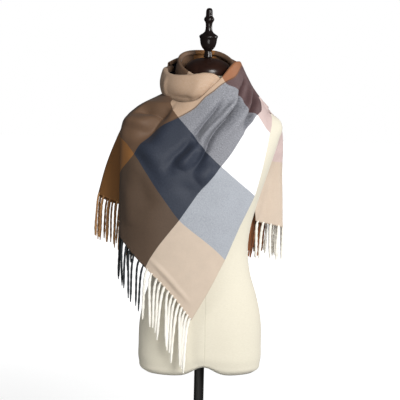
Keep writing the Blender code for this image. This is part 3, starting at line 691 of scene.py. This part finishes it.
def fringe(node, grid, places, start, end, lengths, slot, seed,
           drift=(0.0, 0.0), clump=3, apart=0.0123, thick=1.0):
    """Strands from the edge's warp between two distances across the cloth."""
    # How far a strand holds the warp's line, its gap to the form, its root in the cloth, its twist at
    # each step, its steps, and how many of them its end tapers over.
    stiff, clear, root, twist, steps, tapered = 0.016, 0.0034, 0.003, 0.7, 28, 5
    chance = np.random.default_rng(seed)
    order = np.argsort(places[:, -1, 0])
    edge = (grid[:, -1] + outwards(grid)[:, -1] * WALL / 2)[order]
    marks = places[order, -1, 0]

    def on_edge(mark):
        return np.array([np.interp(mark, marks, edge[:, c]) for c in range(3)])

    strands = bpy.data.curves.new(node, "CURVE")
    strands.dimensions = "3D"
    strands.twist_mode = "MINIMUM"
    strands.bevel_mode = "OBJECT"
    strands.bevel_object = ply_section
    strands.use_fill_caps = True
    count = max(2, round(abs(end - start) / apart))
    for k in range(count):
        mark = start + (end - start) * (k + 0.5 + chance.uniform(-0.12, 0.12)) / count
        here = on_edge(mark)
        column = order[np.clip(np.searchsorted(marks, mark), 0, len(marks) - 1)]
        way = warp_direction(grid, places, column)
        whole = np.interp((k + 0.5) / count, np.linspace(0, 1, len(lengths)), lengths)
        whole *= chance.uniform(0.93, 1.05)
        sway = chance.normal(0, 0.03, 2) + drift
        # Neighbours cling together towards their ends.
        middle = start + (end - start) * min(k // clump * clump + clump / 2, count) / count
        sway = np.array([*(sway + (on_edge(middle) - here)[:2] / whole * 0.7), 0.0])
        wave, phase = chance.uniform(0.01, 0.04), chance.uniform(0, 2 * math.pi)
        turn = chance.uniform(0, 2 * math.pi)
        points = [here - way * root]
        for step in range(steps):
            u = step / steps
            hold = math.exp(-u * whole / stiff)
            curl = wave * math.sin(phase + u * 7.0)
            pull = np.array([curl * math.cos(turn), curl * math.sin(turn), -1.0])
            heading = way * hold + (pull + sway * (1 - 0.5 * u)) * (1 - hold)
            heading /= np.linalg.norm(heading)
            there = Vector(points[-1] + heading * whole / steps)
            near, normal, _, _ = form_tree.find_nearest(there)
            height = (there - near).dot(normal)
            if -REACH < height < clear and u > 0.08:
                there += normal * (clear - height)
            points.append(np.array(there))
        spline = strands.splines.new("POLY")
        spline.points.add(len(points) - 1)
        for n, (point, place) in enumerate(zip(spline.points, points)):
            point.co = (*place, 1.0)
            point.tilt = n * twist + phase
            out, tip = min(1.0, n / 3), min(1.0, (len(points) - 1 - n) / tapered)
            point.radius = thick * (0.82 + 0.18 * out) * (0.45 + 0.55 * tip)
    drawn = bpy.data.objects.new(node + "_line", strands)
    scene.collection.objects.link(drawn)
    bpy.context.view_layer.update()
    drawn_now = drawn.evaluated_get(bpy.context.evaluated_depsgraph_get())
    mesh = bpy.data.meshes.new_from_object(drawn_now)
    bpy.data.objects.remove(drawn)
    mesh.name = node + "_strands"
    mesh.materials.clear()
    mesh.materials.append(yarns[slot])
    mesh.shade_smooth()
    made = bpy.data.objects.new(mesh.name, mesh)
    scene.collection.objects.link(made)
    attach(made, "root")
    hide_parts(node)
    return made


inner_fringe = [
    fringe("tail_fringe_rust", inner_tail, inner_places, 0.498, 0.660, (0.100, 0.116, 0.140),
           "rust_yarn", 5, drift=(-0.18, -0.06), apart=0.0105),
    fringe("tail_fringe_camel", inner_tail, inner_places, 0.345, 0.498, (0.100, 0.092), "camel_yarn", 6),
]


# -------- scarf, outer layer of the tail
# The same end, folded over its inner layer, so that the white and navy bands lie outside. The
# white selvedge hangs at the side of the arm.
tail, turn_map = hung_grid([
    # azimuth, rim, shoulder, blade, fall, hem
    (94, (118, 1128), (172, 1096), (190, 1045), (145, 950), (124, 876)),
    (97, (118, 1128), (173, 1096), (196, 1045), (156, 943), (134, 857)),
    (98, (118, 1128), (174, 1096), (198, 1045), (162, 935), (140, 826)),
    (103, (117, 1129), (178, 1098), (208, 1045), (202, 930), (180, 818)),
    (107, (116, 1130), (178, 1100), (210, 1045), (220, 930), (221, 808)),
    (114, (114, 1130), (168, 1100), (205, 1040), (218, 925), (220, 812)),
    (126, (110, 1130), (146, 1095), (184, 1025), (202, 920), (206, 814)),
    (142, (102, 1130), (126, 1082), (152, 995), (172, 895), (180, 800)),
    (160, (94, 1130), (110, 1065), (124, 975), (144, 870), (156, 768)),
    (180, (88, 1130), (102, 1060), (114, 970), (130, 850), (148, 736)),
], 110, 110)
tail = creased(tail, turn_map, [
    (((103, 1000), (105, 920), (103, 820)), (12, 16), -4, (0.4, 0)),
    (((100, 1000), (101, 920), (100.5, 820)), (5, 6), -8, (0.4, 0)),
    (((131, 1060), (134, 920), (131, 780)), (11, 17), -8, (0.3, 0)),
    (((145, 1080), (149, 900), (147, 740)), (10, 15), 6, (0.3, 0)),
    (((160, 1040), (163, 860), (165, 710)), (10, 14), -7, (0.4, 0)),
    (((173, 1080), (172, 950)), (8, 10), 4, (0.4, 0.5)),
])
tail = laid_over(tail, on_form, tree_over(inner_tail))
tail_places = cloth_places(tail, turn_map, [
    (94, 876, -20, 1483), (98, 826, 0, 1530), (126, 814, 150, 1530), (180, 736, 345, 1530),
    (94, 970, -15, 1375), (107, 975, 30, 1360), (126, 950, 150, 1345), (180, 880, 340, 1340),
    (94, 1128, 0, 1200), (126, 1130, 150, 1190), (180, 1130, 330, 1090),
])
tail_piece = cloth_piece("scarf_tail_cloth", tail, tail_places, "scarf_tail")
tail_fringe = [
    fringe("tail_fringe_white", tail, tail_places, 0.0, 0.150, (0.095, 0.076),
           "white_yarn", 7, clump=2, apart=0.0130),
    fringe("tail_fringe_charcoal", tail, tail_places, 0.150, 0.345, (0.076, 0.095), "charcoal_yarn", 8),
]


# -------- scarf, winding round the neck
# One turn and a third of the scarf, gathered into a soft band: it starts inside the throat, goes
# round behind the cap and comes forward again as the broad band under the chin. Its upper edge
# is a fold, so it is rolled over and not cut.
winding = np.array([
    # azimuth, radius and height of the top edge, radius and height of the foot
    (10, 70, 1162, 74, 1118), (-30, 76, 1188, 75, 1128),
    (-60, 72, 1206, 73, 1150), (-90, 69, 1226, 74, 1158),
    (-140, 68, 1248, 73, 1168), (-180, 67, 1252, 73, 1168),
    (-210, 68, 1250, 74, 1165), (-250, 70, 1231, 73, 1165),
    (-275, 71, 1214, 74, 1156), (-300, 75, 1202, 75, 1136),
    (-335, 86, 1172, 79, 1107), (-352, 94, 1186, 82, 1107),
    (-364, 98, 1189, 84, 1112), (-390, 104, 1184, 87, 1118),
    (-414, 108, 1184, 92, 1125), (-428, 109, 1189, 97, 1127),
    (-445, 107, 1199, 100, 1128), (-480, 98, 1209, 98, 1136),
])
columns, lines = 330, 36
wound = np.linspace(-10, 480, columns)
rows = smooth_through(-winding[:, 0], winding[:, 1:] / 1000, wound)
across = np.linspace(1, 0, lines)[None, :]
bulge = np.interp(wound, [0, 320, 380, 480], [0.003, 0.003, 0.011, 0.008])[:, None]
radius = rows[:, 2:3] * (1 - across) + rows[:, 0:1] * across + bulge * np.sin(math.pi * across)
height = rows[:, 3:4] * (1 - across) + rows[:, 1:2] * across
angle = -np.radians(wound)[:, None]
neck = np.stack([radius * np.sin(angle), -radius * np.cos(angle), height], axis=-1)
turn_map = np.repeat(-wound[:, None], lines, axis=1)
neck = creased(neck, turn_map, [
    (((-372, 1185), (-378, 1150), (-388, 1122)), (16, 18), 3, (0.4, 0.3)),
    (((-352, 1182), (-360, 1156), (-370, 1134)), (7, 10), -3.5, (0.3, 0.4)),
    (((-424, 1185), (-430, 1135)), (9, 9), 3, (0.4, 0.3)),
    (((-350, 1138), (-385, 1131), (-420, 1136)), (6, 8), -3, (0.3, 0.3)),
])
neck = laid_over(neck, on_form)
neck_places = cloth_places(neck, turn_map, [
    (10, 1162, 440, 1120), (10, 1118, 395, 1120), (-55, 1202, 440, 1000), (-55, 1147, 385, 1000),
    (-120, 1238, 440, 930), (-120, 1165, 370, 930), (-150, 1246, 440, 880), (-150, 1168, 365, 880),
    (-175, 1248, 440, 820), (-175, 1168, 360, 820), (-195, 1248, 440, 825), (-195, 1168, 360, 825),
    (-215, 1246, 440, 880), (-250, 1226, 440, 930), (-250, 1165, 380, 930), (-300, 1202, 440, 1020),
    (-300, 1136, 375, 1020), (-335, 1175, 440, 1110), (-335, 1112, 365, 1110),
    (-364, 1190, 440, 1120), (-364, 1108, 365, 1120), (-415, 1195, 440, 1080),
    (-415, 1120, 365, 1080), (-440, 1209, 440, 1045), (-440, 1127, 368, 1045),
    (-480, 1219, 440, 970), (-480, 1136, 370, 970),
])
rim_roll = np.interp(wound, [0, 200, 330, 360], [0.002, 0.002, 0.003, 0.005])
neck, neck_places = rolled_rim(neck, neck_places, rim_roll, skirt=0.008)
neck_piece = cloth_piece("scarf_neck_cloth", neck, neck_places, "scarf_neck")


# -------- scarf, back
# The scarf lies over the right shoulder and across the shoulder blades, its white edge lowest,
# and rises to the left side of the neck, where it runs on into the winding.
back, turn_map = hung_grid([
    # azimuth, rim, collar, blade, fall, hem
    (90.6, (85, 1219), (100, 1193), (117, 1163), (137, 1137), (157, 1116)),
    (100, (84, 1222), (99, 1195), (119, 1162), (143, 1134), (165, 1113)),
    (110, (83, 1226), (98, 1196), (120, 1160), (146, 1124), (172, 1084)),
    (132, (80, 1236), (96, 1190), (118, 1136), (142, 1068), (152, 985)),
    (155, (78, 1244), (94, 1188), (112, 1118), (132, 1035), (138, 945)),
    (180, (78, 1247), (92, 1185), (110, 1110), (128, 1020), (132, 930)),
    (205, (86, 1241), (98, 1180), (112, 1110), (128, 1025), (134, 940)),
    (226, (98, 1229), (104, 1175), (112, 1125), (130, 1065), (138, 990)),
    (239.8, (104, 1219), (107, 1185), (101, 1150), (118, 1108), (130, 1050)),
], 150, 110)
back = creased(back, turn_map, [
    (((96, 1190), (128, 1090), (150, 970)), (10, 16), -7, (0.2, 0.2)),
    (((100, 1200), (140, 1110), (172, 960)), (9, 16), 6, (0.2, 0.2)),
    (((106, 1210), (150, 1140), (192, 980)), (9, 16), -7, (0.2, 0.2)),
    (((118, 1220), (165, 1165), (212, 1000)), (8, 15), 5, (0.2, 0.2)),
    (((130, 1225), (180, 1185), (226, 1040)), (8, 13), -6, (0.2, 0.2)),
    (((170, 1215), (205, 1185), (234, 1090)), (8, 10), 4, (0.3, 0.2)),
])
back = laid_over(back, on_form, tree_over(inner_tail), tree_over(tail), tree_over(neck))
back_places = cloth_places(back, turn_map, [
    (90.6, 1116, 0, 600), (132, 985, 0, 735), (180, 930, 0, 850), (226, 990, 10, 950),
    (239.8, 1050, 40, 985), (90.6, 1140, 166, 575), (110, 1130, 125, 640), (132, 1090, 110, 690),
    (180, 1060, 140, 820), (226, 1120, 170, 930), (90.6, 1215, 332, 545), (132, 1200, 260, 650),
    (180, 1200, 280, 800), (226, 1190, 290, 900), (239.8, 1175, 290, 935), (132, 1236, 310, 630),
    (180, 1247, 330, 790), (226, 1229, 335, 890), (239.8, 1219, 340, 925),
])
shoulder_line = back[0].copy()
back, back_places = rolled_rim(back, back_places, 0.0022, skirt=0.006)
back_piece = cloth_piece("scarf_back_cloth", back, back_places, "scarf_back")


# -------- scarf, front
# The near end, spread over the chest like a shawl: from its corner below the waist the white edge
# climbs to the right shoulder, the fringed end runs up round the left side, and the upper bands
# are gathered at the neck, turned over along the edge of the camel band.
front, turn_map = hung_grid([
    # azimuth, rim, collar, chest, fall, hem
    (90, (85, 1223), (101, 1193), (118, 1163), (137, 1137), (157, 1116)),
    (69, (85, 1223), (106, 1175), (128, 1132), (148, 1090), (163, 1046)),
    (49, (86, 1218), (113, 1130), (138, 1050), (150, 980), (154, 903)),
    (33, (90, 1202), (120, 1098), (140, 990), (144, 905), (143, 826)),
    (19, (95, 1183), (123, 1068), (141, 960), (141, 855), (137, 750)),
    (1, (101, 1156), (124, 1058), (142, 945), (142, 805), (138, 667)),
    (-15, (108, 1128), (128, 1053), (150, 940), (149, 770), (143, 598)),
    (-32, (116, 1119), (141, 1060), (166, 950), (166, 800), (158, 656)),
    (-51, (112, 1125), (158, 1089), (192, 985), (196, 850), (188, 720)),
    (-66, (104, 1136), (168, 1102), (206, 1030), (214, 905), (211, 772)),
    (-74, (102, 1139), (174, 1105), (211, 1050), (218, 925), (217, 797)),
    (-87, (100, 1144), (171, 1106), (201, 1060), (188, 945), (174, 838)),
    (-97, (100, 1145), (170, 1106), (204, 1058), (209, 958), (211, 868)),
    (-103, (100, 1146), (169, 1106), (208, 1055), (242, 970), (264, 888)),
    (-113, (100, 1147), (164, 1106), (206, 1050), (229, 960), (241, 862)),
    (-126, (102, 1150), (152, 1112), (182, 1052), (190, 950), (192, 850)),
    (-142, (110, 1152), (142, 1115), (168, 1045), (182, 940), (188, 834)),
    (-160, (104, 1165), (130, 1122), (150, 1050), (160, 945), (166, 842)),
], 260, 150)
front = creased(front, turn_map, [
    # gathers that run from the right side of the neck down across the chest
    (((18, 1134), (5, 1101), (-5, 1079), (-12, 1057), (-19, 1036)), (6.5, 8), -14, (0.35, 0.2)),
    (((36, 1131), (22, 1106), (12, 1084), (1, 1062), (-8, 1038), (-13, 1012)), (6, 7), 12, (0.25, 0.3)),
    (((54, 1166), (46, 1149), (40, 1121), (28, 1099), (19, 1082), (10, 1065), (3, 1046), (-1, 1029),
      (-4, 1010), (-8, 990), (-13, 970), (-18, 952)), (5.5, 9), -20, (0.2, 0.4)),
    (((64, 1150), (50, 1110), (38, 1088), (26, 1064), (14, 1040), (2, 1008)), (10, 14), 9, (0.3, 0.4)),
    (((82, 1162), (72, 1140), (62, 1122), (54, 1096), (44, 1071), (38, 1052)), (5.5, 9),
     -21, (0.2, 0.45)),
    (((66, 1200), (63, 1180), (53, 1163), (46, 1150)), (4, 4), -7, (0.25, 0.3)),
    (((70, 1166), (58, 1132), (50, 1105)), (7, 7), 6, (0.4, 0.4)),
    # the tongue of a fold below the gathers, and broad soft hollows in the navy and grey checks
    (((-12, 1020), (-18, 1000), (-24, 980), (-27, 962)), (10, 15), 13, (0.3, 0.3)),
    (((-19, 1036), (-25, 1012), (-32, 990), (-36, 966), (-34, 944)), (9, 13), -8, (0.3, 0.4)),
    (((4, 978), (-3, 956), (-12, 934)), (18, 22), 10, (0.4, 0.4)),
    (((-30, 930), (-18, 910), (-6, 915)), (16, 16), -5, (0.5, 0.5)),
    (((-58, 1020), (-50, 998), (-44, 974)), (16, 18), 5, (0.4, 0.5)),
    (((-63, 1012), (-55, 982), (-47, 945), (-41, 905)), (12, 18), -7, (0.4, 0.5)),
    (((-58, 958), (-53, 910), (-47, 860)), (12, 18), -5, (0.4, 0.3)),
    (((-66, 930), (-62, 820)), (12, 16), 4, (0.4, 0.2)),
    # the soft crease in the beige corner
    (((-50, 752), (-37, 708), (-25, 667), (-15, 638)), (5, 5), 3.6, (0.4, 0.4)),
    (((-53, 732), (-40, 688), (-28, 648), (-18, 618)), (13, 13), -3, (0.5, 0.5)),
    # the shoulder: a fold along its top, a hollow below it, and a dent down the outside
    (((-44, 1118), (-60, 1118), (-84, 1119)), (4.5, 4.5), 3, (0.3, 0.3)),
    (((-42, 1098), (-56, 1101), (-74, 1103)), (12, 10), -18, (0.3, 0.3)),
    (((-53, 1066), (-62, 1070), (-76, 1076)), (13, 11), 12, (0.3, 0.3)),
    (((-80, 1090), (-76, 1060), (-73, 1020)), (18, 18), 4, (0.3, 0.4)),
    (((-46, 1108), (-51, 1080), (-55, 1050), (-56, 1020)), (16, 18), -22, (0.3, 0.4)),
    # hanging folds of the left side and behind
    (((-112, 1050), (-111, 960), (-110, 880)), (10, 12), -4, (0.4, 0)),
    (((-119, 1060), (-120, 950), (-119, 860)), (10, 16), 7, (0.4, 0)),
    (((-132, 1080), (-133, 960), (-134, 840)), (10, 15), -8, (0.4, 0)),
    (((-150, 1100), (-151, 970), (-150, 840)), (11, 15), 6, (0.4, 0)),
])
front_places = cloth_places(front, turn_map, [
    # along the white edge, from the corner up to the right shoulder
    (-15, 598, 0, 0), (0, 664, 0, 90), (17, 742, 0, 170), (33, 826, 0, 250), (48, 899, 0, 340),
    (67, 1040, 0, 500), (81, 1090, 0, 570), (90, 1116, 0, 600),
    # between the white and the navy warp
    (-52, 720, 166, 0), (-27, 838, 166, 170), (-9, 910, 166, 255), (11, 970, 166, 340),
    (24, 1006, 166, 400), (60, 1091, 166, 510), (71, 1108, 166, 535), (82, 1131, 166, 566),
    (90, 1141, 166, 575),
    # between the navy and the camel warp
    (-87.6, 838, 332, 0), (-72, 955, 332, 130), (-65, 978, 332, 157), (-60, 1004, 332, 180),
    (-56, 1028, 332, 202), (-50, 1053, 332, 242), (-42, 1072, 332, 295), (-34, 1084, 332, 340),
    (-17, 1110, 332, 405), (-6, 1134, 332, 440), (5, 1149, 332, 468), (16, 1165, 332, 500),
    (27, 1175, 332, 520), (40, 1184, 332, 535), (54, 1200, 332, 545), (70, 1214, 332, 552),
    (90, 1221, 332, 565), (1, 1168, 354, 455), (15, 1184, 354, 505), (33, 1211, 362, 545),
    (49, 1221, 356, 555),
    # the left shoulder and the side
    (-51, 1122, 389, 340), (-74, 1028, 395, 170), (-74, 1127, 430, 270), (-100, 1060, 430, 175),
    (-103, 888, 415, 0), (-118, 857, 498, 0), (-138, 838, 580, 0), (-160, 842, 664, 0),
    (-122, 1050, 510, 200), (-160, 1050, 664, 215), (-100, 1133, 450, 250), (-130, 1145, 560, 300),
    (-160, 1165, 655, 335),
    # where the pleats bend the line between the white and the rose weft
    (38, 1140, 285, 500), (42, 1123, 262, 508), (48, 1104, 225, 512), (53, 1093, 200, 514),
    (66, 1064, 80, 510),
])
front = laid_over(front, on_form, tree_over(back, 0.020))
# Left of the throat, up to azimuth -54, its rim is tucked under the winding. In front it lies over it.
on_top = laid_over(front, tree_over(neck))
front += (on_top - front) * np.clip((turn_map + 54) / 6, 0, 1)[..., None]
# At the top of the right shoulder, from azimuth 78 to 90, it runs on from the back without a step.
lines = np.linspace(0, 1, front.shape[1])
shoulder_lines = np.linspace(0, 1, len(shoulder_line))
meeting = np.stack([np.interp(lines, shoulder_lines, shoulder_line[:, c]) for c in range(3)], axis=-1)
front += (meeting - front[-1]) * (np.clip((turn_map - 78) / 12, 0, 1) ** 2)[..., None]
rim_roll = np.interp(
    turn_map[:, 0],
    [-100, -54, -46, -28, -12, 18, 34, 90],
    [0.002, 0.0015, 0.003, 0.003, 0.0012, 0.0012, 0.003, 0.0022],
)
front, front_places = rolled_rim(front, front_places, rim_roll, skirt=0.006)
front_piece = cloth_piece("scarf_front_cloth", front, front_places, "scarf_front")
front_fringe = [
    fringe("fringe_white", front, front_places, 0.0, 0.166, (0.128, 0.142, 0.142, 0.120, 0.136),
           "white_yarn", 1, drift=(-0.03, 0.0), clump=4),
    fringe("fringe_charcoal", front, front_places, 0.166, 0.332, (0.120, 0.110),
           "charcoal_yarn", 2, clump=2, apart=0.0150, thick=0.78),
    fringe("fringe_camel", front, front_places, 0.332, 0.498, (0.112, 0.116, 0.106, 0.106),
           "camel_yarn", 3, drift=(-0.03, 0.0), clump=1, apart=0.0095, thick=0.75),
    fringe("fringe_rust", front, front_places, 0.498, 0.660, (0.116, 0.120), "rust_yarn", 4, thick=0.9),
]
bpy.data.objects.remove(ply_section)
